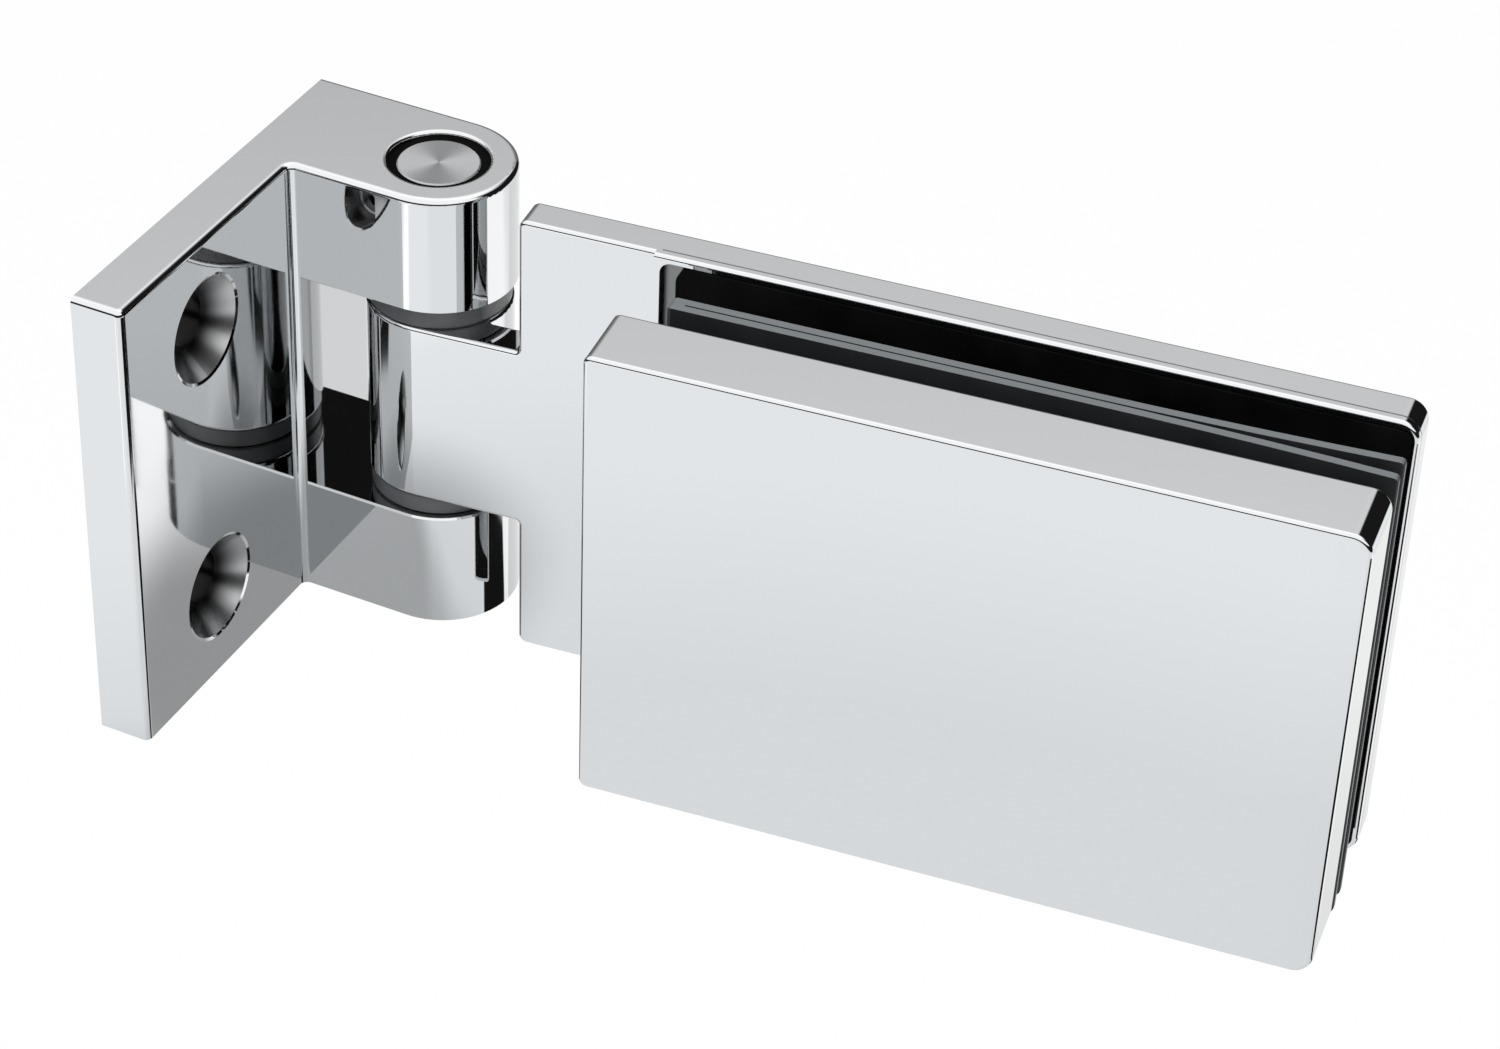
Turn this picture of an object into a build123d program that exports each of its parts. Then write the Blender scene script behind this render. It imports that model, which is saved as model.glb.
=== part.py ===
from build123d import *
import os

# Glass door hinge: a forked wall bracket, a fixed pin, and a leaf that clamps the edge of a glass door.
# Millimetres, +Z up. The origin is the middle of the two wall screw holes, on the wall's face, and +X leaves
# the wall. The leaf and all it carries are drawn in the leaf's own frame: the pin's axis is its origin, +X
# runs along the leaf and the room side that the clamp plate faces is -Y. Then they turn about the pin.

# Wall bracket
height = 55.0
wall_plate_thickness = 5.9
wall_plate_depth = 49.3
arm_width = 17.0
arm_gap = 26.8
arm_root = 0.9
wall_to_pin = 19.05
screws_to_pin = 25.6
bracket_edge_radius = 0.7
bracket_corner_radius = 0.8
bracket_edge_chamfer = 0.2

# Countersunk holes for the two wall screws
wall_screw_spacing = 33.4
wall_screw_hole_diameter = 6.5
wall_screw_rim_diameter = 12.0
hole_rim_chamfer = 0.2

# Pin, the plastic sleeves that hold it in the arms, and the screw that locks it
pin_radius = 4.45
pin_end_recess = 0.45
pin_end_chamfer = 0.15
sleeve_wall = 0.98
sleeve_fit = 0.02
sleeve_end_recess = 0.6
bore_rim_radius = 0.4
bore_rim_chamfer = 0.3
lock_slot_half_width = 1.77
lock_slot_below_top = 0.75
lock_slot_depth = 3.2
lock_slot_corner_radius = 0.5
lock_screw_radius = 1.5
lock_screw_fit = 0.1
lock_screw_offset = 4.6
lock_screw_below_top = 3.6
lock_screw_length = 7.0
lock_screw_socket = 1.5
lock_screw_socket_depth = 1.5

# Bushes and washers that the leaf turns on
running_fit = 0.05
bush_wall = 1.2
bush_length = 9.5
washer_radius = 7.75
washer_thickness = 2.27
washer_edge_chamfer = 0.2
thrust_gap = 0.1

# Leaf: knuckle, neck and the rear half of the glass clamp
knuckle_radius = 8.0
leaf_thickness = 4.25
neck_length = 12.3
leaf_end = 107.1
leaf_edge_radius = 0.45
outer_corner_radius = 2.2
inner_corner_radius = 0.9
rest_angle = 6.2

# Pockets that hold the rubber pads, and the raised rim round the leaf's one
rim_start = 27.4
rim_proud = 0.5
rim_width = 0.65
lip_width = 0.8
lip_end_width = 0.6
pocket_corner_radius = 1.3
pad_start = 29.9
pad_side_gap = 0.15
pad_proud = 0.2
pad_thickness = 1.3
pad_corner_radius = 1.8

# Front half of the glass clamp
clamp_start = 27.5
clamp_thickness = 8.6
clamp_opening = 11.9
clamp_edge_radius = 0.45

# Folded gasket that wraps the edge of the glass
gasket_start = 31.7
gasket_end = 106.9
gasket_top_drop = 0.5
gasket_bottom_drop = 0.7
gasket_leg = 0.95
gasket_fold_web = 1.7
gasket_gap = 0.2
gasket_flare_start = 75.0
gasket_gap_at_end = 1.9
gasket_behind_clamp = 4.45
gasket_bend_radius = 0.6
gasket_tip_radius = 0.2
gasket_corner_radius = 0.6

# Screws that draw the two halves together, and the sleeves that keep them off the glass
clamp_screw_start = 50.0
clamp_screw_spacing = 36.0
clamp_screw_radius = 3.0
clamp_screw_fit = 0.2
thread_fit = 0.05
clamp_screw_head_radius = 5.8
clamp_screw_head_recess = 0.3
clamp_screw_bite = 5.0
clamp_screw_socket = 4.0
clamp_screw_socket_depth = 2.4
thread_hole_extra = 1.0
boss_radius = 7.0
glass_sleeve_wall = 1.3
glass_sleeve_fit = 0.3

# Sizes that follow from the ones above
half_height = height / 2
arm_half_width = arm_width / 2
arm_tip = wall_to_pin + arm_half_width
arm_front = screws_to_pin - arm_half_width
arm_back = screws_to_pin + arm_half_width
bore_radius = pin_radius + sleeve_fit + sleeve_wall
lock_screw_x = wall_to_pin - lock_screw_offset
lock_screw_z = half_height - lock_screw_below_top
lock_hole_radius = lock_screw_radius + lock_screw_fit
lock_slot_top = half_height - lock_slot_below_top
lock_slot_floor = arm_front + lock_slot_depth
lock_hole_end = lock_slot_floor + lock_screw_length
knuckle_half_height = arm_gap / 2 - washer_thickness - thrust_gap
bush_bore_radius = pin_radius + running_fit
knuckle_bore_radius = bush_bore_radius + bush_wall
leaf_front = -knuckle_radius
leaf_back = leaf_front + leaf_thickness
rim_face = leaf_front - rim_proud
pad_face = rim_face - pad_proud
leaf_floor = pad_face + pad_thickness
clamp_back = leaf_front - clamp_opening
clamp_floor = clamp_back - pad_thickness
clamp_front = clamp_back - clamp_thickness
clamp_screw_places = [clamp_screw_start, clamp_screw_start + clamp_screw_spacing]
clamp_screw_hole_radius = clamp_screw_radius + clamp_screw_fit
glass_sleeve_radius = clamp_screw_hole_radius + glass_sleeve_wall
passing = 2 * height

leaf_frame = Location((wall_to_pin, screws_to_pin, 0), (0, 0, rest_angle))


def tube(outer_radius, inner_radius, length):
    return Cylinder(outer_radius, length) - Cylinder(inner_radius, length)


def along_y(solid, x, y_start, z=0):
    """Lays a solid that stands on its origin along +Y, starting at y_start."""
    return Pos(x, y_start, z) * Rot(-90, 0, 0) * solid


def standing(radius, length):
    return Cylinder(radius, length, align=(Align.CENTER, Align.CENTER, Align.MIN))


def hex_socket(across_flats, depth):
    hexagon = RegularPolygon(across_flats / 2, 6, major_radius=False)
    return extrude(hexagon, depth)


def rounded_plate(x_start, x_end, z_half, left_radius, right_radius, y_front, y_back):
    """A plate in the XZ plane with its own corner radius at each end."""
    outline = Rectangle(x_end - x_start, 2 * z_half)
    if left_radius:
        outline = fillet(outline.vertices().group_by(Axis.X)[0], left_radius)
    right = outline.vertices().group_by(Axis.X)[-1]
    outline = fillet(right, right_radius)
    slab = extrude(outline, y_back - y_front)
    return Pos((x_start + x_end) / 2, y_back, 0) * Rot(90, 0, 0) * slab


def wall_bracket():
    """One casting: wall plate and two arms with round ends, in plan, with the fork cut out."""
    plate = Pos(wall_plate_thickness / 2, arm_back - wall_plate_depth / 2) * Rectangle(
        wall_plate_thickness, wall_plate_depth
    )
    arm = Pos(wall_to_pin / 2, screws_to_pin) * Rectangle(wall_to_pin, arm_width)
    arm_end = Pos(wall_to_pin, screws_to_pin) * Circle(arm_half_width)
    plan = plate + arm + arm_end
    corners = plan.vertices().filter_by(lambda corner: abs(corner.X - wall_plate_thickness) < 0.01)
    plan = fillet(corners, bracket_corner_radius)
    body = extrude(plan, half_height, both=True)

    # The wall's side of the outline stays sharp, because it lies flat against the wall.
    top = body.edges().group_by(Axis.Z)[-1].filter_by(lambda edge: edge.center().X > 0.01)
    body = fillet(top, bracket_edge_radius)
    bottom = body.edges().group_by(Axis.Z)[0].filter_by(lambda edge: edge.center().X > 0.01)
    body = chamfer(bottom, bracket_edge_chamfer)

    fork_floor = wall_plate_thickness + arm_root
    body -= Pos(fork_floor, screws_to_pin, 0) * Box(
        passing, passing, arm_gap, align=(Align.MIN, Align.CENTER, Align.CENTER)
    )
    arm_edges = body.edges().filter_by(
        lambda edge: abs(abs(edge.center().Z) - arm_gap / 2) < 0.01 and edge.center().X > fork_floor + 0.01
    )
    body = chamfer(arm_edges, bracket_edge_chamfer)

    body -= Pos(wall_to_pin, screws_to_pin, 0) * Cylinder(bore_radius, passing)
    bore_rims = body.edges().filter_by(GeomType.CIRCLE).filter_by(
        lambda edge: abs(edge.radius - bore_radius) < 0.01
    )
    body = fillet(bore_rims.group_by(Axis.Z)[-1], bore_rim_radius)
    bore_rims = body.edges().filter_by(GeomType.CIRCLE).filter_by(
        lambda edge: abs(edge.radius - bore_radius) < 0.01
    )
    body = chamfer(bore_rims.group_by(Axis.Z)[0], bore_rim_chamfer)

    for z in (-wall_screw_spacing / 2, wall_screw_spacing / 2):
        sink_depth = (wall_screw_rim_diameter - wall_screw_hole_diameter) / 2
        sink = Cone(wall_screw_hole_diameter / 2, wall_screw_rim_diameter / 2, sink_depth)
        body -= Pos(wall_plate_thickness - sink_depth / 2, 0, z) * Rot(0, 90, 0) * sink
        body -= Pos(0, 0, z) * Rot(0, 90, 0) * Cylinder(wall_screw_hole_diameter / 2, passing)
    rims = body.edges().filter_by(GeomType.CIRCLE).filter_by(
        lambda edge: abs(edge.radius - wall_screw_rim_diameter / 2) < 0.01
    )
    body = chamfer(rims, hole_rim_chamfer)
    return body - lock_slot() - lock_screw_hole()


def lock_slot():
    """The D-shaped recess in the upper arm's front that the lock screw is reached through."""
    straight = lock_slot_top - lock_screw_z
    outline = Pos(lock_screw_x, lock_screw_z + straight / 2) * Rectangle(2 * lock_slot_half_width, straight)
    outline = fillet(outline.vertices().group_by(Axis.Y)[-1], lock_slot_corner_radius)
    outline += Pos(lock_screw_x, lock_screw_z) * Circle(lock_slot_half_width)
    slot = extrude(outline, lock_slot_depth + bracket_edge_radius)
    return Pos(0, lock_slot_floor, 0) * Rot(90, 0, 0) * slot


def lock_screw_hole():
    """The hole for the screw that crosses the pin's flank, from the slot's floor."""
    drill = standing(lock_hole_radius, lock_screw_length)
    return along_y(drill, lock_screw_x, lock_slot_floor, lock_screw_z)


def lock_screw():
    screw = standing(lock_screw_radius, lock_screw_length)
    screw = chamfer(screw.edges().group_by(Axis.Z)[-1], lock_screw_radius / 4)
    screw -= hex_socket(lock_screw_socket, lock_screw_socket_depth)
    return along_y(screw, lock_screw_x, lock_slot_floor, lock_screw_z)


def hinge_pin():
    """Straight pin through both arms, with a notch where the lock screw crosses it."""
    pin = Cylinder(pin_radius, height - 2 * pin_end_recess)
    pin = chamfer(pin.edges().filter_by(GeomType.CIRCLE), pin_end_chamfer)
    return Pos(wall_to_pin, screws_to_pin, 0) * pin - lock_screw_hole()


def pin_sleeve(side):
    """Black sleeve between the pin and an arm: side is 1 for the upper arm and -1 for the lower."""
    length = half_height - sleeve_end_recess - arm_gap / 2
    middle = side * (arm_gap / 2 + length / 2)
    sleeve = tube(bore_radius, pin_radius + sleeve_fit, length)
    return Pos(wall_to_pin, screws_to_pin, middle) * sleeve - lock_screw_hole()


def leaf_plate():
    """One casting: knuckle, neck and the plate behind the glass, with its pocket and bosses."""
    neck = Pos(neck_length, (leaf_front + leaf_back) / 2, 0) * Box(
        2 * neck_length, leaf_thickness, 2 * knuckle_half_height
    )
    head = rounded_plate(
        neck_length, leaf_end, half_height, inner_corner_radius, outer_corner_radius, leaf_front, leaf_back
    )
    body = head + neck + Cylinder(knuckle_radius, 2 * knuckle_half_height)
    body = fillet(body.edges(), leaf_edge_radius)
    body += pocket_rim()
    body -= Cylinder(knuckle_bore_radius, passing)
    body -= pad_pocket(rim_start + rim_width, rim_face, leaf_floor)
    for x in clamp_screw_places:
        body -= along_y(Cylinder(clamp_screw_hole_radius, passing), x, 0)
        sink_radius = clamp_screw_head_radius + clamp_screw_fit
        sink_depth = sink_radius - clamp_screw_hole_radius + clamp_screw_head_recess
        cone = Cone(clamp_screw_hole_radius, sink_radius, sink_depth - clamp_screw_head_recess)
        body -= along_y(cone, x, leaf_back - (sink_depth + clamp_screw_head_recess) / 2)
        body -= along_y(standing(sink_radius, passing), x, leaf_back - clamp_screw_head_recess)
    return body


def pocket_rim():
    """From rim_start on the leaf is a little thicker, so a narrow rim stands up round its pocket."""
    rim = rounded_plate(
        rim_start, leaf_end, half_height, 0, outer_corner_radius, rim_face, leaf_front + 2 * leaf_edge_radius
    )
    front = rim.faces().sort_by(Axis.Y)[0].edges()
    return fillet(front.filter_by(lambda edge: edge.center().X > rim_start + 0.01), leaf_edge_radius)


def pad_pocket(x_start, y_face, y_floor):
    """The shallow pocket for a pad, less the round bosses that the clamp screws pass through."""
    y_low, y_high = sorted((y_face, y_floor))
    pocket = rounded_plate(
        x_start,
        leaf_end - lip_end_width,
        half_height - lip_width,
        pocket_corner_radius,
        pocket_corner_radius,
        y_low,
        y_high,
    )
    for x in clamp_screw_places:
        pocket -= along_y(standing(boss_radius, y_high - y_low), x, y_low)
    return pocket


def rubber_pad(y_face, y_floor):
    """A pad that fills its pocket, with a hole round each boss."""
    y_low, y_high = sorted((y_face, y_floor))
    pad = rounded_plate(
        pad_start,
        leaf_end - lip_end_width - pad_side_gap,
        half_height - lip_width - pad_side_gap,
        pad_corner_radius,
        pocket_corner_radius - pad_side_gap,
        y_low,
        y_high,
    )
    for x in clamp_screw_places:
        pad -= along_y(standing(boss_radius + pad_side_gap, y_high - y_low), x, y_low)
    return pad


def clamp_plate():
    """The thick plate in front of the glass, with blind threaded holes in its hidden face."""
    body = rounded_plate(
        clamp_start, leaf_end, half_height, inner_corner_radius, outer_corner_radius, clamp_front, clamp_back
    )
    body = fillet(body.edges().filter_by(lambda edge: abs(edge.tangent_at(0.5).Y) < 0.5), clamp_edge_radius)
    body -= pad_pocket(pad_start - pad_side_gap, clamp_back, clamp_floor)
    for x in clamp_screw_places:
        hole_end = clamp_back - clamp_screw_bite - thread_hole_extra
        drill = standing(clamp_screw_radius + thread_fit, passing)
        body -= along_y(drill, x, hole_end)
    return body


def clamp_screw(x):
    """Countersunk screw with a hex socket, in from the back of the leaf."""
    head_top = leaf_back - clamp_screw_head_recess
    head_depth = clamp_screw_head_radius - clamp_screw_radius
    tip = clamp_back - clamp_screw_bite
    screw = along_y(standing(clamp_screw_radius, head_top - tip), x, tip)
    head = Cone(clamp_screw_radius, clamp_screw_head_radius, head_depth)
    screw += along_y(head, x, head_top - head_depth / 2)
    socket = hex_socket(clamp_screw_socket, clamp_screw_socket_depth)
    return screw - along_y(socket, x, head_top - clamp_screw_socket_depth)


def glass_sleeve(x):
    """Tube round a clamp screw, from boss to boss, that keeps the screw off the glass."""
    sleeve = tube(glass_sleeve_radius, clamp_screw_hole_radius, rim_face - clamp_back)
    return along_y(sleeve, x, (rim_face + clamp_back) / 2)


def flared_strip(x_start, half_width):
    """Plan of a strip whose sides run straight and then curve apart towards the gasket's open end."""
    end_half_width = half_width + (gasket_gap_at_end - gasket_gap) / 2
    lines = [
        Line((x_start, -half_width), (x_start, half_width)),
        Line((gasket_end, -end_half_width), (gasket_end, end_half_width)),
    ]
    for side in (-1, 1):
        bend = (gasket_flare_start, side * half_width)
        lines.append(Line((x_start, side * half_width), bend))
        lines.append(TangentArc(bend, (gasket_end, side * end_half_width), tangent=(1, 0)))
    return make_face(lines)


def glass_gasket():
    """Thin sheet folded once: its legs lie almost together and flare apart near the open end."""
    half_gap = gasket_gap / 2
    plan = flared_strip(gasket_start, half_gap + gasket_leg)
    plan -= flared_strip(gasket_start + gasket_fold_web, half_gap)
    plan = fillet(plan.vertices().group_by(Axis.X)[0], gasket_bend_radius)
    plan = fillet(plan.vertices().group_by(Axis.X)[-1], gasket_tip_radius)
    sheet = Pos(0, clamp_back + gasket_behind_clamp, 0) * extrude(plan, passing / 2, both=True)
    top = half_height - gasket_top_drop
    bottom = -half_height - gasket_bottom_drop
    trim = rounded_plate(
        gasket_start, gasket_end, (top - bottom) / 2, gasket_corner_radius, gasket_corner_radius, -passing, passing
    )
    body = sheet & Pos(0, 0, (top + bottom) / 2) * trim
    for x in clamp_screw_places:
        body -= along_y(Cylinder(glass_sleeve_radius + glass_sleeve_fit, passing), x, 0)
    return body


def bush(side):
    """Plastic bush in one end of the knuckle, flush with the knuckle's face."""
    middle = side * (knuckle_half_height - bush_length / 2)
    return Pos(0, 0, middle) * tube(knuckle_bore_radius, bush_bore_radius, bush_length)


def washer(side):
    """Thick plastic washer that rests on the knuckle, or the knuckle on it."""
    middle = side * (knuckle_half_height + washer_thickness / 2)
    ring = tube(washer_radius, bush_bore_radius, washer_thickness)
    rims = ring.edges().filter_by(GeomType.CIRCLE).filter_by(
        lambda edge: abs(edge.radius - washer_radius) < 0.01
    )
    return Pos(0, 0, middle) * chamfer(rims, washer_edge_chamfer)


wall_side = {
    "wall_bracket": wall_bracket(),
    "hinge_pin": hinge_pin(),
    "upper_pin_sleeve": pin_sleeve(1),
    "lower_pin_sleeve": pin_sleeve(-1),
    "pin_lock_screw": lock_screw(),
}
glass_side = {
    "leaf_plate": leaf_plate(),
    "upper_bush": bush(1),
    "lower_bush": bush(-1),
    "upper_washer": washer(1),
    "lower_washer": washer(-1),
    "rear_pad": rubber_pad(pad_face, leaf_floor),
    "front_pad": rubber_pad(clamp_back, clamp_floor),
    "glass_gasket": glass_gasket(),
    "clamp_plate": clamp_plate(),
}
for name, x in zip(("inner", "outer"), clamp_screw_places):
    glass_side[name + "_clamp_screw"] = clamp_screw(x)
    glass_side[name + "_glass_sleeve"] = glass_sleeve(x)

os.makedirs("parts", exist_ok=True)
for name, solid in wall_side.items():
    export_step(solid, f"parts/{name}.step")
for name, solid in glass_side.items():
    export_step(leaf_frame * solid, f"parts/{name}.step")
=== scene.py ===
# %% [markdown]
# Glass door hinge, dressed for its portrait.
# The hinge is almost all polished chrome, and chrome has no colour of its own: it shows what stands round
# it. So this lesson is as much about the studio as about the metal. It loads the frame that holds every
# solid, makes each finish once, lays the finishes on the solids, builds the studio and sets the camera.

import math

import bpy
from mathutils import Matrix, Vector


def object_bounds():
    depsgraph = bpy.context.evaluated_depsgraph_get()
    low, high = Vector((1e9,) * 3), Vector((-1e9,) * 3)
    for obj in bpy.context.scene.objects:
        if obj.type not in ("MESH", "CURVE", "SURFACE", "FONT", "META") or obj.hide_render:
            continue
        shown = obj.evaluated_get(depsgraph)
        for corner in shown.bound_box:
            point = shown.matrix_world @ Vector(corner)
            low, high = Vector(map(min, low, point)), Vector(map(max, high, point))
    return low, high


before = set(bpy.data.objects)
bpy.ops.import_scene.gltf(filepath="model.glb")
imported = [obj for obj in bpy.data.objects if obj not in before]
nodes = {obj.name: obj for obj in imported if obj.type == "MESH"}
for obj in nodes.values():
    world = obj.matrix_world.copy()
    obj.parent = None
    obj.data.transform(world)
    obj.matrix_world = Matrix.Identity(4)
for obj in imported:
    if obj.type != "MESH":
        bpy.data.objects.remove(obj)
cad_low, cad_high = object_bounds()


# %% [markdown]
# A material in Blender is a graph of nodes. It could be wired by hand in the editor, but a script that wires
# it can be read and run again. A few helpers keep each material short: they make a node and set its plain
# numbers, start a material with its main shader, make and place a node group, do one sum, and split a place
# into its three numbers.

# %% Helpers for node graphs
def add_node(tree, kind, **inputs):
    """A new node of that kind, with some of its input sockets set by name."""
    node = tree.nodes.new(kind)
    for name, value in inputs.items():
        node.inputs[name.replace("_", " ")].default_value = value
    return node


def new_material(name):
    """A material with an empty graph but for its output, and the shader that feeds it."""
    material = bpy.data.materials.new(name)
    material.use_nodes = True
    tree = material.node_tree
    tree.nodes.clear()
    output = tree.nodes.new("ShaderNodeOutputMaterial")
    shader = tree.nodes.new("ShaderNodeBsdfPrincipled")
    tree.links.new(shader.outputs["BSDF"], output.inputs["Surface"])
    return material, tree, shader


def new_group(name, inputs, outputs):
    """A node group with named float inputs, given as {name: default}, and named outputs."""
    group = bpy.data.node_groups.new(name, "ShaderNodeTree")
    for socket_name, default in inputs.items():
        socket = group.interface.new_socket(socket_name, in_out="INPUT", socket_type="NodeSocketFloat")
        socket.default_value = default
    for socket_name in outputs:
        group.interface.new_socket(socket_name, in_out="OUTPUT", socket_type="NodeSocketFloat")
    entry = group.nodes.new("NodeGroupInput")
    leave = group.nodes.new("NodeGroupOutput")
    return group, entry, leave


def place_group(tree, group, **inputs):
    """The group as one node of a material, with its own values."""
    node = tree.nodes.new("ShaderNodeGroup")
    node.node_tree = group
    for name, value in inputs.items():
        node.inputs[name.replace("_", " ")].default_value = value
    return node


def math_step(tree, operation, first, second=0.0, third=0.0):
    """One Math node: each value is a plain number or another node's output.

    COMPARE gives 1 where the first value is within the third one of the second.
    """
    node = tree.nodes.new("ShaderNodeMath")
    node.operation = operation
    for socket, value in zip(node.inputs, (first, second, third)):
        if isinstance(value, float):
            socket.default_value = value
        else:
            tree.links.new(value, socket)
    return node.outputs["Value"]


def place_of(tree, output="Object"):
    """X, Y and Z of a place, or of a normal, in the object's own space."""
    coordinates = tree.nodes.new("ShaderNodeTexCoord")
    parts = tree.nodes.new("ShaderNodeSeparateXYZ")
    tree.links.new(coordinates.outputs[output], parts.inputs["Vector"])
    return parts.outputs["X"], parts.outputs["Y"], parts.outputs["Z"]


print("Helpers ready")


# %% [markdown]
# Handling leaves two marks on any smooth surface: a broad haze, where a cloth wiped it, and fine specks. Both
# change how sharp a reflection is, and hardly its colour. A painted image could hold them, but it would
# need a flat unwrapping of every piece. Two noises in the object's own space do without, so the haze is a
# node group that every metal and plastic here shares, each with its own amount.

# %% Group: haze on a smooth surface
HAZE_STARTS = (0.35, 0.7)

haze, entry, leave = new_group(
    "surface_haze",
    {
        "Size": 60.0, "Clear Roughness": 0.03, "Hazy Roughness": 0.08,
        "Speck Size": 900.0, "Speck Amount": 0.02,
    },
    ["Roughness", "Height"],
)
coordinates = haze.nodes.new("ShaderNodeTexCoord")
broad = add_node(haze, "ShaderNodeTexNoise", Detail=3.0, Roughness=0.55)
fine = add_node(haze, "ShaderNodeTexNoise", Detail=2.0, Roughness=0.6)
spread = haze.nodes.new("ShaderNodeMapRange")
spread.inputs["From Min"].default_value = HAZE_STARTS[0]
spread.inputs["From Max"].default_value = HAZE_STARTS[1]
speck = haze.nodes.new("ShaderNodeMath")
speck.operation = "MULTIPLY"
total = haze.nodes.new("ShaderNodeMath")
total.operation = "ADD"
haze.links.new(coordinates.outputs["Object"], broad.inputs["Vector"])
haze.links.new(coordinates.outputs["Object"], fine.inputs["Vector"])
haze.links.new(entry.outputs["Size"], broad.inputs["Scale"])
haze.links.new(entry.outputs["Speck Size"], fine.inputs["Scale"])
haze.links.new(broad.outputs["Fac"], spread.inputs["Value"])
haze.links.new(entry.outputs["Clear Roughness"], spread.inputs["To Min"])
haze.links.new(entry.outputs["Hazy Roughness"], spread.inputs["To Max"])
haze.links.new(fine.outputs["Fac"], speck.inputs[0])
haze.links.new(entry.outputs["Speck Amount"], speck.inputs[1])
haze.links.new(spread.outputs["Result"], total.inputs[0])
haze.links.new(speck.outputs["Value"], total.inputs[1])
haze.links.new(total.outputs["Value"], leave.inputs["Roughness"])
haze.links.new(fine.outputs["Fac"], leave.inputs["Height"])
print("Group made:", haze.name)


# %% [markdown]
# The bracket, the leaf and the clamp plate are brass or zinc, polished and plated with chrome. A full
# Metallic value gives the mirror. Its colour is a cool middle grey, because chrome gives back only three
# fifths of the light, a little more of the blue. The haze group keeps the mirror from being perfect.

# %% Finish: polished chrome
CHROME_COLOUR = (0.588, 0.598, 0.606, 1.0)


def chrome_finish(name):
    material, tree, shader = new_material(name)
    shader.inputs["Base Color"].default_value = CHROME_COLOUR
    shader.inputs["Metallic"].default_value = 1.0
    marks = place_group(
        tree, haze, Size=45.0, Clear_Roughness=0.018, Hazy_Roughness=0.05,
        Speck_Size=1500.0, Speck_Amount=0.012,
    )
    tree.links.new(marks.outputs["Roughness"], shader.inputs["Roughness"])
    return material, tree, shader, marks


def dull_and_shade_where(tree, shader, marks, mask, colour, roughness):
    """Rougher chrome where the mask is 1, with its colour darkened there as painted shade."""
    tone = tree.nodes.new("ShaderNodeMix")
    tone.data_type = "RGBA"
    tone.inputs["A"].default_value = CHROME_COLOUR
    if isinstance(colour, tuple):
        tone.inputs["B"].default_value = colour
    else:
        tree.links.new(colour, tone.inputs["B"])
    rough = tree.nodes.new("ShaderNodeMix")
    rough.data_type = "FLOAT"
    rough.inputs["B"].default_value = roughness
    tree.links.new(mask, tone.inputs["Factor"])
    tree.links.new(mask, rough.inputs["Factor"])
    tree.links.new(marks.outputs["Roughness"], rough.inputs["A"])
    tree.links.new(tone.outputs["Result"], shader.inputs["Base Color"])
    tree.links.new(rough.outputs["Result"], shader.inputs["Roughness"])


chrome = chrome_finish("polished_chrome_plate")[0]
print("Finish made:", chrome.name)


# %% [markdown]
# Nobody polishes the inside of a hole. The cones under the wall screws and the slot for the lock screw were
# cut last, so they keep a rougher chrome, and their colour is darkened there as painted shade. They are part
# of the bracket's one solid, and its mesh stays as it is, so a mask finds them by place: near the axis of a
# hole and between the plate's two faces, or inside the slot's outline and behind the arm's front. Deep in a
# cone the light fades, so the painted shade runs from the rim inwards to nearly black at the hole.

# %% Finish: chrome with painted shade in its holes
PLATE_FACE = 0.0059
SINK_REACH = 0.00588
SINK_UP = 0.0167
HOLE_RADIUS = 0.0034
HAIR = 0.00006
SLOT_MIDDLE = (0.01445, 0.0189, 0.0244)
SLOT_HALF = (0.0019, 0.0016, 0.0024)
# Painted shade: the darker tone inside the holes, and the near-black deep in each cone.
HOLE_PAINTED_SHADE = (0.42, 0.426, 0.43, 1.0)
DEEP_PAINTED_SHADE = (0.012, 0.012, 0.012, 1.0)
HOLE_ROUGHNESS = 0.27

bracket_chrome, tree, shader, marks = chrome_finish("polished_chrome_with_painted_shade_in_holes")
x, y, z = place_of(tree)
from_axis = math_step(tree, "SUBTRACT", math_step(tree, "ABSOLUTE", z), SINK_UP)
squares = math_step(tree, "ADD", math_step(tree, "POWER", y, 2.0), math_step(tree, "POWER", from_axis, 2.0))
reach = math_step(tree, "SQRT", squares)
near_axis = math_step(tree, "LESS_THAN", reach, SINK_REACH)
in_plate = math_step(tree, "COMPARE", x, PLATE_FACE / 2, PLATE_FACE / 2 - HAIR)
in_sink = math_step(tree, "MULTIPLY", near_axis, in_plate)
across, deep, up = [
    math_step(tree, "COMPARE", value, middle, half)
    for value, middle, half in zip((x, y, z), SLOT_MIDDLE, SLOT_HALF)
]
in_slot = math_step(tree, "MULTIPLY", across, math_step(tree, "MULTIPLY", deep, up))
shade_deepness = tree.nodes.new("ShaderNodeMapRange")
shade_deepness.interpolation_type = "SMOOTHSTEP"
shade_deepness.inputs["From Min"].default_value = SINK_REACH
shade_deepness.inputs["From Max"].default_value = HOLE_RADIUS
tree.links.new(reach, shade_deepness.inputs["Value"])
hole_painted_shade = tree.nodes.new("ShaderNodeMix")
hole_painted_shade.data_type = "RGBA"
hole_painted_shade.inputs["A"].default_value = HOLE_PAINTED_SHADE
hole_painted_shade.inputs["B"].default_value = DEEP_PAINTED_SHADE
tree.links.new(math_step(tree, "MULTIPLY", shade_deepness.outputs["Result"], in_sink), hole_painted_shade.inputs["Factor"])
in_hole = math_step(tree, "MAXIMUM", in_sink, in_slot)
dull_and_shade_where(tree, shader, marks, in_hole, hole_painted_shade.outputs["Result"], HOLE_ROUGHNESS)
print("Finish made:", bracket_chrome.name)
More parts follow.
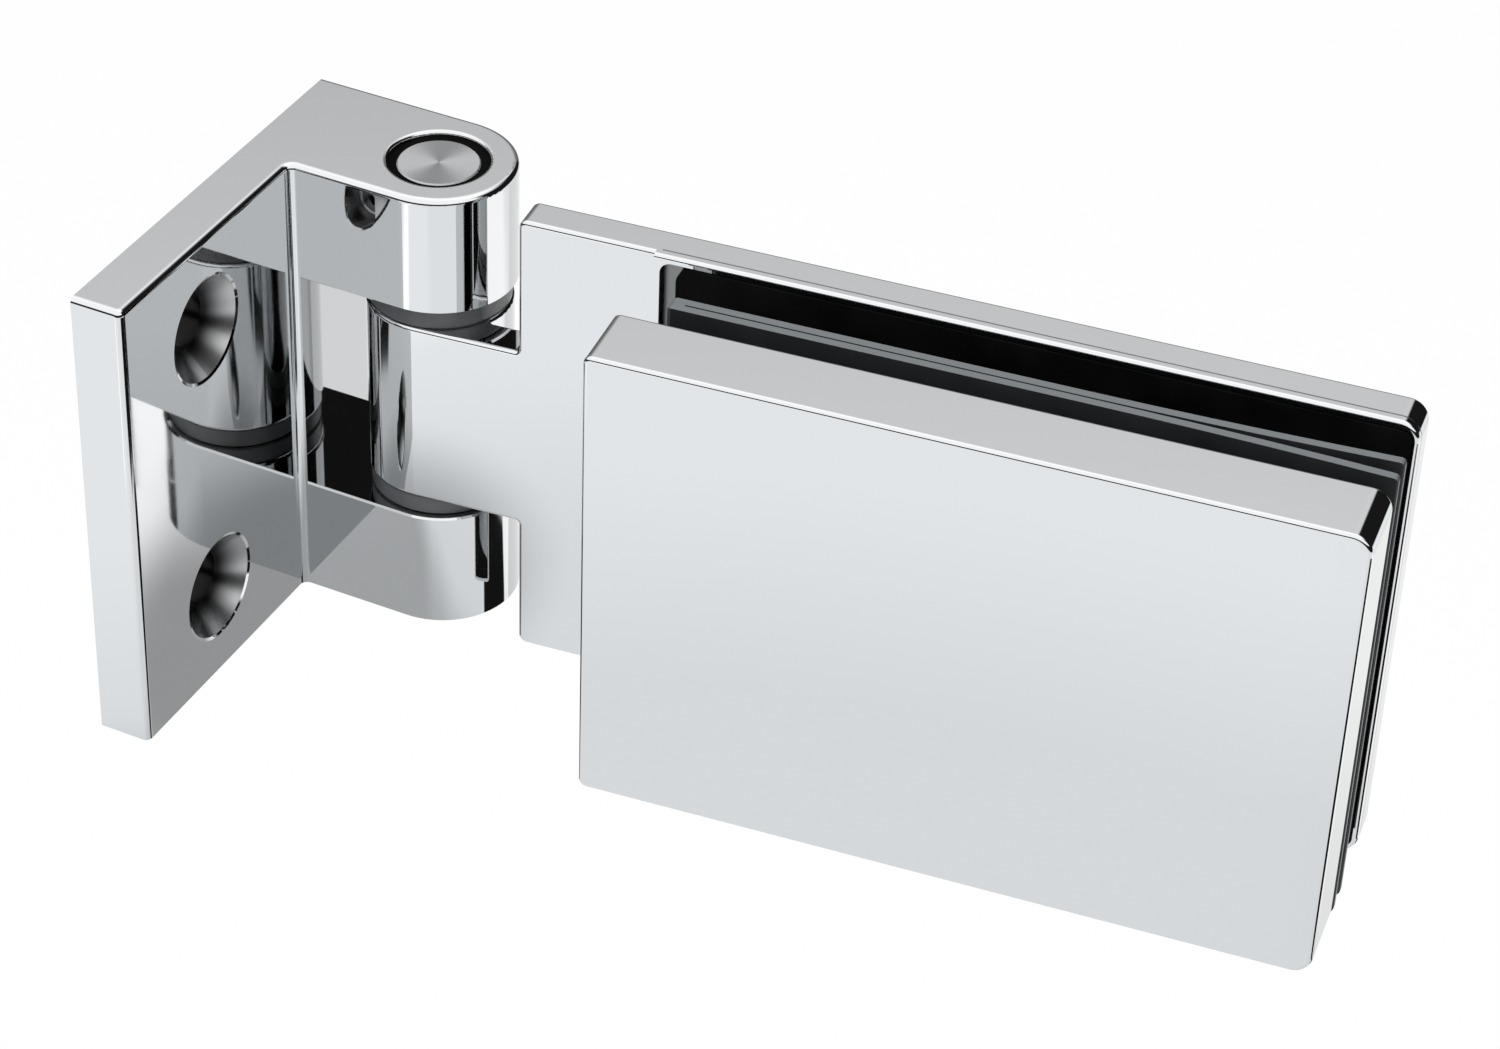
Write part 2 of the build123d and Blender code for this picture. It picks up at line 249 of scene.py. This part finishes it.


# %% [markdown]
# The leaf's pocket is chromed too, but its floor is rougher than the rest and darkened as painted shade,
# for the recess takes less light. The mask is made in the same way, but in the leaf's own frame, because the
# leaf stands at an angle: the place is moved to the pin and turned back first, and then the floor is the one
# surface at that depth.

# %% Finish: chrome with painted shade on the pocket floor
PIN_PLACE = (0.01905, 0.0256, 0.0)
LEAF_TURN = math.radians(6.2)
POCKET_FLOOR = -0.0074
POCKET_START = 0.02795
HAIR_DEPTH = 0.0001
# Painted shade: the dark grey of the pocket floor.
POCKET_PAINTED_SHADE = (0.2, 0.204, 0.208, 1.0)
POCKET_ROUGHNESS = 0.32

leaf_chrome, tree, shader, marks = chrome_finish("polished_chrome_with_painted_shade_in_pocket")
coordinates = tree.nodes.new("ShaderNodeTexCoord")
in_leaf = tree.nodes.new("ShaderNodeVectorMath")
in_leaf.operation = "SUBTRACT"
in_leaf.inputs[1].default_value = PIN_PLACE
turned_back = tree.nodes.new("ShaderNodeVectorRotate")
turned_back.rotation_type = "Z_AXIS"
turned_back.inputs["Angle"].default_value = -LEAF_TURN
parts = tree.nodes.new("ShaderNodeSeparateXYZ")
tree.links.new(coordinates.outputs["Object"], in_leaf.inputs[0])
tree.links.new(in_leaf.outputs["Vector"], turned_back.inputs["Vector"])
tree.links.new(turned_back.outputs["Vector"], parts.inputs["Vector"])
is_floor = math_step(
    tree, "MULTIPLY",
    math_step(tree, "COMPARE", parts.outputs["Y"], POCKET_FLOOR, HAIR_DEPTH),
    math_step(tree, "GREATER_THAN", parts.outputs["X"], POCKET_START),
)
dull_and_shade_where(tree, shader, marks, is_floor, POCKET_PAINTED_SHADE, POCKET_ROUGHNESS)
print("Finish made:", leaf_chrome.name)


# %% [markdown]
# The pin's end was turned on a lathe, and the tool left fine rings round the centre. Rings like these pull
# every highlight into two bright wedges that meet in the middle. Painting the wedges would fix them in place,
# so the shader is made anisotropic instead, with its grain round the pin, and the wedges follow the light.
# The haze keeps the wedges from being too clean.

# %% Finish: turned steel
TURNED_COLOUR = (0.45, 0.46, 0.47, 1.0)

turned, tree, shader = new_material("turned_steel")
shader.inputs["Base Color"].default_value = TURNED_COLOUR
shader.inputs["Metallic"].default_value = 1.0
shader.inputs["Anisotropic"].default_value = 0.9
marks = place_group(
    tree, haze, Size=250.0, Clear_Roughness=0.42, Hazy_Roughness=0.46, Speck_Size=2500.0, Speck_Amount=0.02
)
tree.links.new(marks.outputs["Roughness"], shader.inputs["Roughness"])
grain = tree.nodes.new("ShaderNodeTangent")
grain.direction_type = "RADIAL"
grain.axis = "Z"
tree.links.new(grain.outputs["Tangent"], shader.inputs["Tangent"])
print("Finish made:", turned.name)


# %% [markdown]
# The screws are steel, blackened or plain, and their sockets sit in shadow. Steel is metal too, but rougher
# and darker than chrome, so each of the two gets its own colour and its own haze.

# %% Finish: screw steel, dark and plain
def screw_steel(name, colour, clear, hazy):
    material, tree, shader = new_material(name)
    shader.inputs["Base Color"].default_value = colour
    shader.inputs["Metallic"].default_value = 1.0
    marks = place_group(
        tree, haze, Size=200.0, Clear_Roughness=clear, Hazy_Roughness=hazy,
        Speck_Size=2200.0, Speck_Amount=0.04,
    )
    bump = add_node(tree, "ShaderNodeBump", Strength=0.12, Distance=0.00005)
    tree.links.new(marks.outputs["Height"], bump.inputs["Height"])
    tree.links.new(bump.outputs["Normal"], shader.inputs["Normal"])
    tree.links.new(marks.outputs["Roughness"], shader.inputs["Roughness"])
    return material


dark_steel = screw_steel("blackened_screw_steel", (0.12, 0.12, 0.125, 1.0), clear=0.25, hazy=0.4)
plain_steel = screw_steel("plain_screw_steel", (0.5, 0.5, 0.51, 1.0), clear=0.2, hazy=0.32)
print("Finishes made:", dark_steel.name, "and", plain_steel.name)


# %% [markdown]
# Plastics and rubber aren't metal: they have a colour of their own under a clear gloss. The washers and the
# folded gasket are grey and let a little light in, the sleeves are black nylon, and the pads are black
# rubber with a fine skin. One function makes them all, and only its values differ.

# %% Finishes: plastics and rubber
DRIFT_STARTS = (0.35, 0.7)
DRIFT_SIZE = 140.0
GRAIN_STRENGTH = 0.25
INNER_LIGHT_REACH = 0.001


def soft_finish(name, dark, light, clear, hazy, grain_size, grain_depth, specular, inner_light=0.0):
    """A plastic or rubber whose colour drifts between two tones, with a fine grain in its skin."""
    material, tree, shader = new_material(name)
    shader.inputs["Specular IOR Level"].default_value = specular
    if inner_light:
        shader.inputs["Subsurface Weight"].default_value = inner_light
        shader.inputs["Subsurface Scale"].default_value = INNER_LIGHT_REACH
    marks = place_group(
        tree, haze, Size=120.0, Clear_Roughness=clear, Hazy_Roughness=hazy,
        Speck_Size=grain_size, Speck_Amount=0.05,
    )
    coordinates = tree.nodes.new("ShaderNodeTexCoord")
    drift = add_node(tree, "ShaderNodeTexNoise", Scale=DRIFT_SIZE, Detail=2.0)
    tones = tree.nodes.new("ShaderNodeValToRGB")
    tones.color_ramp.elements[0].position = DRIFT_STARTS[0]
    tones.color_ramp.elements[0].color = dark
    tones.color_ramp.elements[1].position = DRIFT_STARTS[1]
    tones.color_ramp.elements[1].color = light
    bump = add_node(tree, "ShaderNodeBump", Strength=GRAIN_STRENGTH, Distance=grain_depth)
    tree.links.new(coordinates.outputs["Object"], drift.inputs["Vector"])
    tree.links.new(drift.outputs["Fac"], tones.inputs["Fac"])
    tree.links.new(tones.outputs["Color"], shader.inputs["Base Color"])
    tree.links.new(marks.outputs["Roughness"], shader.inputs["Roughness"])
    tree.links.new(marks.outputs["Height"], bump.inputs["Height"])
    tree.links.new(bump.outputs["Normal"], shader.inputs["Normal"])
    return material


washer_grey = soft_finish(
    "washer_plastic", dark=(0.075, 0.08, 0.084, 1.0), light=(0.1, 0.106, 0.11, 1.0),
    clear=0.28, hazy=0.4, grain_size=1500.0, grain_depth=0.00003, specular=0.5, inner_light=0.25,
)
sleeve_black = soft_finish(
    "sleeve_nylon", dark=(0.0015, 0.0015, 0.0015, 1.0), light=(0.003, 0.003, 0.003, 1.0),
    clear=0.4, hazy=0.55, grain_size=1600.0, grain_depth=0.00003, specular=0.015,
)
pad_black = soft_finish(
    "pad_rubber", dark=(0.0025, 0.0025, 0.003, 1.0), light=(0.006, 0.006, 0.0065, 1.0),
    clear=0.42, hazy=0.6, grain_size=2200.0, grain_depth=0.00005, specular=0.03,
)
print("Finishes made:", washer_grey.name, sleeve_black.name, pad_black.name)


# %% [markdown]
# The gasket is a sheet of dark plastic, folded once. Its broad sides are smooth and nearly black, and its
# faces that look up or down are painted a paler grey, as painted light falling from above. The way a surface
# faces tells the two apart, so the normal in the object's own space makes the mask, and the gasket's colour
# runs from the dark tone to the pale one.

# %% Finish: gasket plastic with painted light on faces that look up or down
# Painted light: the paler grey laid on faces that look up or down.
GASKET_PAINTED_LIGHT = (0.13, 0.142, 0.148, 1.0)
PAINTED_LIGHT_STARTS = (0.5, 0.9)

gasket_grey = soft_finish(
    "gasket_plastic", dark=(0.016, 0.018, 0.019, 1.0), light=(0.024, 0.026, 0.028, 1.0),
    clear=0.32, hazy=0.45, grain_size=1200.0, grain_depth=0.00003, specular=0.35,
)
tree = gasket_grey.node_tree
shader = tree.nodes["Principled BSDF"]
side_tones = tree.nodes["Color Ramp"]
upright = math_step(tree, "ABSOLUTE", place_of(tree, "Normal")[2])
painted_light_mask = tree.nodes.new("ShaderNodeMapRange")
painted_light_mask.inputs["From Min"].default_value = PAINTED_LIGHT_STARTS[0]
painted_light_mask.inputs["From Max"].default_value = PAINTED_LIGHT_STARTS[1]
colour = tree.nodes.new("ShaderNodeMix")
colour.data_type = "RGBA"
colour.inputs["B"].default_value = GASKET_PAINTED_LIGHT
tree.links.new(upright, painted_light_mask.inputs["Value"])
tree.links.new(painted_light_mask.outputs["Result"], colour.inputs["Factor"])
tree.links.new(side_tones.outputs["Color"], colour.inputs["A"])
tree.links.new(colour.outputs["Result"], shader.inputs["Base Color"])
print("Finish made:", gasket_grey.name)


# %% [markdown]
# Every solid of the frame already has its true shape, with its edges rounded as the real casting's are, so
# nothing has to be modelled over it: each solid only takes its finish. A table of piece and finish says it
# all in one place.

# %% Lay the finishes on the solids
FINISHES = {
    "wall_bracket": bracket_chrome,
    "leaf_plate": leaf_chrome,
    "clamp_plate": chrome,
    "hinge_pin": turned,
    "upper_pin_sleeve": sleeve_black,
    "lower_pin_sleeve": sleeve_black,
    "pin_lock_screw": dark_steel,
    "upper_bush": washer_grey,
    "lower_bush": washer_grey,
    "upper_washer": washer_grey,
    "lower_washer": washer_grey,
    "rear_pad": pad_black,
    "front_pad": pad_black,
    "glass_gasket": gasket_grey,
    "inner_clamp_screw": plain_steel,
    "outer_clamp_screw": plain_steel,
    "inner_glass_sleeve": sleeve_black,
    "outer_glass_sleeve": sleeve_black,
}
for name, finish in FINISHES.items():
    for material_slot in nodes[name].material_slots:
        material_slot.material = finish
print("Finishes laid on", len(FINISHES), "solids")


# %% [markdown]
# Chrome needs something to mirror, and what it mirrors is most of its look. So the world has three parts: the
# camera sees plain white, soft surfaces get one even level, and mirrors see a studio. The studio could be
# built of many cards, but here it is a function of direction: the height above the horizon runs through
# one ramp for the front and another for the back, and a dark flag stands at the back on the right. The dark
# band round the horizon is what draws the crisp black line along each rounded edge.

# %% The world
AMBIENT = 0.75
STUDIO_LEVEL = 1.7
FRONT_LEVELS = [(0.0, 0.01), (0.22, 0.01), (0.29, 0.88), (1.0, 0.88)]
BACK_LEVELS = [(0.0, 0.12), (0.34, 0.16), (0.5, 0.44), (0.6, 0.6), (0.75, 0.8), (0.9, 1.0)]
BACK_STARTS = (-0.15, 0.1)
FLAG_STARTS = (0.02, 0.12)
FLAG_TOP = (0.85, 0.6)
FLAG_TONE = (0.008, 0.008, 0.008, 1.0)

world = bpy.data.worlds.new("studio")
bpy.context.scene.world = world
world.use_nodes = True
tree = world.node_tree
tree.nodes.clear()


def height_ramp(tree, height, stops):
    """A grey level for each height, where a height is the sine of the angle above the horizon."""
    ramp = tree.nodes.new("ShaderNodeValToRGB")
    elements = ramp.color_ramp.elements
    while len(elements) < len(stops):
        elements.new(0.5)
    for element, (position, level) in zip(elements, stops):
        element.position = position
        element.color = (level, level, level, 1.0)
    tree.links.new(height, ramp.inputs["Fac"])
    return ramp.outputs["Color"]


def eased(tree, value, low, high):
    """0 below low and 1 above high, with a smooth step between; low may be above high."""
    step = tree.nodes.new("ShaderNodeMapRange")
    step.interpolation_type = "SMOOTHSTEP"
    step.inputs["From Min"].default_value = low
    step.inputs["From Max"].default_value = high
    tree.links.new(value, step.inputs["Value"])
    return step.outputs["Result"]


def blended(tree, factor, first, second):
    """One colour where the factor is 0 and the other where it is 1."""
    mix = tree.nodes.new("ShaderNodeMix")
    mix.data_type = "RGBA"
    tree.links.new(factor, mix.inputs["Factor"])
    for name, value in (("A", first), ("B", second)):
        if isinstance(value, tuple):
            mix.inputs[name].default_value = value
        else:
            tree.links.new(value, mix.inputs[name])
    return mix.outputs["Result"]


way = tree.nodes.new("ShaderNodeTexCoord")
parts = tree.nodes.new("ShaderNodeSeparateXYZ")
tree.links.new(way.outputs["Generated"], parts.inputs["Vector"])
front = height_ramp(tree, parts.outputs["Z"], FRONT_LEVELS)
back = height_ramp(tree, parts.outputs["Z"], BACK_LEVELS)
behind = eased(tree, parts.outputs["Y"], *BACK_STARTS)
to_the_right = eased(tree, parts.outputs["X"], *FLAG_STARTS)
flag = math_step(tree, "MULTIPLY", to_the_right, eased(tree, parts.outputs["Z"], *FLAG_TOP))
studio = blended(tree, behind, front, blended(tree, flag, back, FLAG_TONE))

path = tree.nodes.new("ShaderNodeLightPath")
output = tree.nodes.new("ShaderNodeOutputWorld")
ambient = add_node(tree, "ShaderNodeBackground", Color=(1.0, 1.0, 1.0, 1.0), Strength=AMBIENT)
mirrored = add_node(tree, "ShaderNodeBackground", Strength=STUDIO_LEVEL)
white = add_node(tree, "ShaderNodeBackground", Color=(1.0, 1.0, 1.0, 1.0), Strength=1.0)
in_mirrors = tree.nodes.new("ShaderNodeMixShader")
in_camera = tree.nodes.new("ShaderNodeMixShader")
tree.links.new(studio, mirrored.inputs["Color"])
tree.links.new(path.outputs["Is Glossy Ray"], in_mirrors.inputs["Fac"])
tree.links.new(ambient.outputs["Background"], in_mirrors.inputs[1])
tree.links.new(mirrored.outputs["Background"], in_mirrors.inputs[2])
plainly = math_step(tree, "MAXIMUM", path.outputs["Is Camera Ray"], path.outputs["Is Transmission Ray"])
tree.links.new(plainly, in_camera.inputs["Fac"])
tree.links.new(in_mirrors.outputs["Shader"], in_camera.inputs[1])
tree.links.new(white.outputs["Background"], in_camera.inputs[2])
tree.links.new(in_camera.outputs["Shader"], output.inputs["Surface"])
print("World set: ambient", AMBIENT, "and studio", STUDIO_LEVEL)


# %% [markdown]
# The floor lies well below the hinge, as this part hangs on a wall. It shows almost white, though it still
# takes the hinge's shadow. Every upright face of the hinge mirrors it, so for mirrors the floor has a
# pattern, as if sheets of paper lay on it. Each sheet is a patch with soft edges, made from the floor's own X
# and Y in metres from under the hinge. A patch needs four numbers along each of them: where its first edge
# begins and ends, and where its second edge begins and ends.

# %% Patches on the floor
def patch(tree, value, edges):
    """1 inside a patch and 0 outside it: edges are the ends of its two soft edges, from low to high."""
    first, second, third, fourth = edges
    return math_step(tree, "MULTIPLY", eased(tree, value, first, second), eased(tree, value, fourth, third))


def both(tree, first, second):
    """The part that two patches share."""
    return math_step(tree, "MULTIPLY", first, second)


def either(tree, first, second):
    """All that one patch or the other covers."""
    return math_step(tree, "MAXIMUM", first, second)


PAPER_COLOUR = (0.86, 0.87, 0.88, 1.0)
PAPER_ROUGHNESS = 0.9

paper, tree, shader = new_material("pale_paper")
shader.inputs["Base Color"].default_value = PAPER_COLOUR
shader.inputs["Roughness"].default_value = PAPER_ROUGHNESS
spot = tree.nodes.new("ShaderNodeTexCoord")
from_middle = tree.nodes.new("ShaderNodeVectorMath")
from_middle.operation = "LENGTH"
tree.links.new(spot.outputs["Object"], from_middle.inputs[0])
reach = from_middle.outputs["Value"]
x, y, z = place_of(tree)
print("Floor's paper made:", paper.name)


# %% [markdown]
# Pale sheets come first. A bright strip lies in front on the left, and the round end of the upper arm shows
# it as a white band. The right-hand half is a little greyer, a brighter sheet lies behind it, and a grey one
# lies behind on the left, which the inner faces of the corner show. Close to the hinge everything is painted
# a little darker, as painted shade for the light the hinge itself takes there.

# %% Pale sheets
PAPER_TONE = (1.18, 1.2, 1.215, 1.0)
RIGHT_TONE = (1.1, 1.12, 1.135, 1.0)
RIGHT_STARTS = (0.07, 0.13)
STRIP_TONE = (1.62, 1.62, 1.62, 1.0)
STRIP_X = (-0.195, -0.175, -0.15, -0.125)
STRIP_REACH = (0.405, 0.43)
BRIGHT_TONE = (1.38, 1.38, 1.38, 1.0)
BRIGHT_Y = (0.0, 0.1, 0.32, 0.42)
BRIGHT_STARTS = (0.1, 0.16)
GREY_TONE = (0.94, 0.94, 0.94, 1.0)
GREY_STARTS = (0.2, 0.24)
GREY_SLANT = -0.4
GREY_EDGE = (0.074, 0.062)
# Painted shade: the floor's glow for mirrors is dimmer near the hinge than far out.
NEAR_REACH, FAR_REACH = 0.33, 0.4
NEAR_LEVEL, FAR_LEVEL = 0.96, 1.09

strip = both(tree, patch(tree, x, STRIP_X), eased(tree, reach, *STRIP_REACH))
bright = both(tree, patch(tree, y, BRIGHT_Y), eased(tree, x, *BRIGHT_STARTS))
slanted = math_step(tree, "MULTIPLY_ADD", y, GREY_SLANT, x)
grey = both(tree, eased(tree, y, *GREY_STARTS), eased(tree, slanted, *GREY_EDGE))
sheet_tone = blended(tree, strip, PAPER_TONE, STRIP_TONE)
sheet_tone = blended(tree, eased(tree, x, *RIGHT_STARTS), sheet_tone, RIGHT_TONE)
sheet_tone = blended(tree, bright, sheet_tone, BRIGHT_TONE)
sheet_tone = blended(tree, grey, sheet_tone, GREY_TONE)
outward = tree.nodes.new("ShaderNodeMapRange")
outward.inputs["From Min"].default_value = NEAR_REACH
outward.inputs["From Max"].default_value = FAR_REACH
outward.inputs["To Min"].default_value = NEAR_LEVEL
outward.inputs["To Max"].default_value = FAR_LEVEL
scaled = tree.nodes.new("ShaderNodeVectorMath")
scaled.operation = "SCALE"
tree.links.new(reach, outward.inputs["Value"])
tree.links.new(sheet_tone, scaled.inputs[0])
tree.links.new(outward.outputs["Result"], scaled.inputs["Scale"])
print("Pale sheets laid: 4")


# %% [markdown]
# Chrome looks like chrome only where black stands beside white. Two black flags on the right draw the dark
# bands down the round ends of the arms: the far one for the upper arm and the near one for the lower arm,
# whose rays meet the floor sooner. Two more, on the left and nearly under the hinge, are seen only after two
# bounces, in the leaf's neck. Far out the floor grows dark, which sharpens every rounded edge.

# %% Black flags, and the floor itself
FAR_FLAG_X = (0.323, 0.335, 0.5, 0.56)
FAR_FLAG_Y = (-0.25, -0.21, 0.105, 0.125)
FAR_FLAG_REACH = (0.37, 0.378)
NEAR_FLAG_STARTS = (0.22, 0.235)
NEAR_FLAG_Y = (0.03, 0.045, 0.25, 0.262)
NEAR_FLAG_REACH = (0.375, 0.365)
LEFT_FLAG_X = (-0.5, -0.45, -0.28, -0.26)
LEFT_FLAG_Y = (-0.2, -0.17, 0.1, 0.15)
UNDER_FLAG_X = (-0.12, -0.09, 0.09, 0.12)
UNDER_FLAG_Y = (0.07, 0.09, 0.15, 0.18)
FLOOR_FADES = (1.15, 1.6)
BLACK_TONE = (0.01, 0.01, 0.01, 1.0)
CAMERA_SHARE = 0.9
FLOOR_BELOW = 0.25
FLOOR_SIZE = 6.0
FLOOR_MIDDLE = Vector((0.03, 0.0, cad_low.z - FLOOR_BELOW))


def stage_sheet(name, width, height, material):
    """A flat rectangle of the studio, round its own origin, that isn't part of the hinge."""
    mesh = bpy.data.meshes.new(name)
    x, y = width / 2, height / 2
    mesh.from_pydata([(-x, -y, 0), (x, -y, 0), (x, y, 0), (-x, y, 0)], [], [(0, 1, 2, 3)])
    mesh.materials.append(material)
    sheet = bpy.data.objects.new(name, mesh)
    bpy.context.scene.collection.objects.link(sheet)
    return sheet


far_flag = both(tree, patch(tree, x, FAR_FLAG_X), patch(tree, y, FAR_FLAG_Y))
far_flag = both(tree, far_flag, eased(tree, reach, *FAR_FLAG_REACH))
near_flag = both(tree, eased(tree, x, *NEAR_FLAG_STARTS), patch(tree, y, NEAR_FLAG_Y))
near_flag = both(tree, near_flag, eased(tree, reach, *NEAR_FLAG_REACH))
left_flag = both(tree, patch(tree, x, LEFT_FLAG_X), patch(tree, y, LEFT_FLAG_Y))
under_flag = both(tree, patch(tree, x, UNDER_FLAG_X), patch(tree, y, UNDER_FLAG_Y))
darkness = either(tree, either(tree, far_flag, near_flag), either(tree, left_flag, under_flag))
darkness = either(tree, darkness, eased(tree, reach, *FLOOR_FADES))
floor_tone = blended(tree, darkness, scaled.outputs["Vector"], BLACK_TONE)

path = tree.nodes.new("ShaderNodeLightPath")
seen = tree.nodes.new("ShaderNodeEmission")
glow = blended(tree, path.outputs["Is Glossy Ray"], (1.0, 1.0, 1.0, 1.0), floor_tone)
tree.links.new(glow, seen.inputs["Color"])
mostly = math_step(tree, "MULTIPLY", path.outputs["Is Camera Ray"], CAMERA_SHARE)
wholly = either(tree, path.outputs["Is Glossy Ray"], path.outputs["Is Transmission Ray"])
share = tree.nodes.new("ShaderNodeMixShader")
tree.links.new(either(tree, mostly, wholly), share.inputs["Fac"])
tree.links.new(shader.outputs["BSDF"], share.inputs[1])
tree.links.new(seen.outputs["Emission"], share.inputs[2])
tree.links.new(share.outputs["Shader"], tree.nodes["Material Output"].inputs["Surface"])
floor = stage_sheet("studio_floor", FLOOR_SIZE, FLOOR_SIZE, paper)
floor.location = FLOOR_MIDDLE
print("Floor laid", round(FLOOR_BELOW * 1000), "mm below the hinge")


# %% [markdown]
# In the corner between the wall plate and the lower arm the real floor lies in shade, and the chrome there
# mirrors it. A small soft-edged disc of shade, just under the corner, stands for it. Only mirrors see it, so
# it throws no shadow of its own, and towards its rim it lets the floor below show through.

# %% Shade in the corner
SHADE_BELOW = 0.003
SHADE_PLACE = Vector((0.008, 0.009, cad_low.z - SHADE_BELOW))
SHADE_REACH = 0.027
SHADE_STRETCH = 1.25
SHADE_CORE = 0.012
SHADE_DEPTH = 0.5
SHADE_TONE = (0.02, 0.02, 0.02, 1.0)

shade, tree, shader = new_material("corner_shade")
dark = add_node(tree, "ShaderNodeEmission", Color=SHADE_TONE, Strength=1.0)
clear = tree.nodes.new("ShaderNodeBsdfTransparent")
spot = tree.nodes.new("ShaderNodeTexCoord")
reach = tree.nodes.new("ShaderNodeVectorMath")
reach.operation = "LENGTH"
fade = tree.nodes.new("ShaderNodeMixShader")
tree.links.new(spot.outputs["Object"], reach.inputs[0])
soft_edge = eased(tree, reach.outputs["Value"], SHADE_REACH, SHADE_CORE)
shade_share = math_step(tree, "MULTIPLY", soft_edge, SHADE_DEPTH)
tree.links.new(shade_share, fade.inputs["Fac"])
tree.links.new(clear.outputs["BSDF"], fade.inputs[1])
tree.links.new(dark.outputs["Emission"], fade.inputs[2])
tree.links.new(fade.outputs["Shader"], tree.nodes["Material Output"].inputs["Surface"])
tree.nodes.remove(shader)
shade_disc = stage_sheet("corner_shade", 2 * SHADE_REACH, 2 * SHADE_REACH, shade)
shade_disc.location = SHADE_PLACE
shade_disc.scale = (1.0, SHADE_STRETCH, 1.0)
shade_disc.visible_camera = False
shade_disc.visible_diffuse = False
shade_disc.visible_shadow = False
shade_disc.visible_transmission = False
print("Shade laid: it reaches", round(SHADE_REACH * 1000), "mm from the corner")


# %% [markdown]
# The lamps light what isn't metal. Three broad area lamps give soft, even light from above, from the left
# and from the right. Mirrors already have their studio, so the lamps stay out of reflections.

# %% Lamps
HINGE_MIDDLE = (cad_low + cad_high) / 2


def soft_lamp(name, around, up, distance, size, power):
    """A square area lamp that points at the hinge and doesn't show in mirrors."""
    a, e = math.radians(around), math.radians(up)
    towards = Vector((math.sin(a) * math.cos(e), -math.cos(a) * math.cos(e), math.sin(e)))
    data = bpy.data.lights.new(name, "AREA")
    data.shape = "SQUARE"
    data.size = size
    data.energy = power
    lamp = bpy.data.objects.new(name, data)
    bpy.context.scene.collection.objects.link(lamp)
    lamp.location = HINGE_MIDDLE + towards * distance
    lamp.rotation_mode = "QUATERNION"
    lamp.rotation_quaternion = towards.to_track_quat("Z", "Y")
    lamp.visible_glossy = False
    return lamp


LAMPS = [
    soft_lamp("top_lamp", around=10.0, up=75.0, distance=1.2, size=0.8, power=7.0),
    soft_lamp("left_lamp", around=-50.0, up=35.0, distance=1.3, size=0.6, power=3.0),
    soft_lamp("right_lamp", around=75.0, up=30.0, distance=1.3, size=0.6, power=3.0),
]
print("Lamps hung:", len(LAMPS))


# %% [markdown]
# The camera stands where the photographer's did: to the right, well above, with a long lens, so the hinge
# is only slightly in perspective. The lens is given for a frame of 1500 by 1049 pixels, and a small shift
# puts the optical axis a little left of the frame's middle, where the photo's own axis lies.

# %% Camera
FRAME_WIDTH = 1500.0
FRAME_HEIGHT = 1049.0
SENSOR_WIDTH = 36.0
FOCAL_PIXELS = 4230.17
AXIS_X = 731.13
AXIS_Y = 521.65
CAMERA_AROUND = 24.905
CAMERA_UP = 36.503
CAMERA_ROLL = 2.167
CAMERA_PLACE = Vector((0.207805, -0.304665, 0.262024))

camera_data = bpy.data.cameras.new("portrait_camera")
camera = bpy.data.objects.new("portrait_camera", camera_data)
bpy.context.scene.collection.objects.link(camera)
bpy.context.scene.camera = camera
camera_data.sensor_fit = "HORIZONTAL"
camera_data.sensor_width = SENSOR_WIDTH
camera_data.lens = FOCAL_PIXELS / FRAME_WIDTH * SENSOR_WIDTH
camera_data.shift_x = (FRAME_WIDTH / 2 - AXIS_X) / FRAME_WIDTH
camera_data.shift_y = (AXIS_Y - FRAME_HEIGHT / 2) / FRAME_WIDTH
camera_data.clip_start = 0.01
camera_data.clip_end = 20.0
turn = Matrix.Rotation(math.radians(CAMERA_AROUND), 4, "Z")
tilt = Matrix.Rotation(math.radians(90.0 - CAMERA_UP), 4, "X")
roll = Matrix.Rotation(math.radians(CAMERA_ROLL), 4, "Z")
camera.matrix_world = Matrix.Translation(CAMERA_PLACE) @ turn @ tilt @ roll
bpy.context.scene.view_settings.view_transform = "Standard"
print("Camera lens", round(camera_data.lens, 2), "mm")
